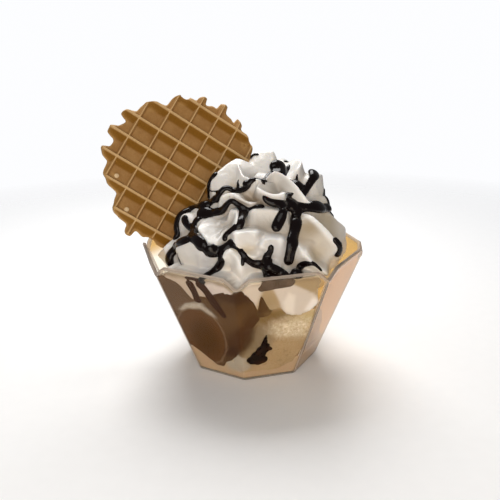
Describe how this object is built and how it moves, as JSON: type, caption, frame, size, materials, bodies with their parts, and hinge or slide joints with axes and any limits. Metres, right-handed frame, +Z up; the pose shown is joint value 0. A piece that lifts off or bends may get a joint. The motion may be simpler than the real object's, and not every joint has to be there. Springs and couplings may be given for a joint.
{
  "type": "chocolate sundae",
  "caption": "Ice-cream sundae in a clear octagonal flared cup: scoops, whipped cream with sauce drizzle, and a round waffle.",
  "frame": {"origin": "middle of the cup's underside, on the surface the cup stands on", "axes": "+Z up along the cup's axis; -Y towards the front, where the chocolate scoop shows left and the vanilla right; +X to the right seen from the front"},
  "size_m": [0.1168, 0.0998, 0.1182],
  "materials": {
    "cup_plastic": "clear, thin-walled, glossy, faintly warm",
    "waffle": "baked, dry and slightly shiny on its ribs",
    "whipped_cream": "soft, moist, satin",
    "chocolate_ice_cream": "moist, fine-grained, frosty",
    "vanilla_ice_cream": "moist, fine-grained",
    "melted_ice_cream": "smooth liquid",
    "chocolate_sauce": "thick, very glossy"
  },
  "bodies": {
    "root": {"cup": "cup_plastic", "chocolate_scoop": "chocolate_ice_cream", "vanilla_scoop": "vanilla_ice_cream", "melted_ice_cream": "melted_ice_cream", "sauce_dollop": "chocolate_sauce", "whipped_cream": "whipped_cream", "wafer": "waffle"}
  },
  "joints": []
}
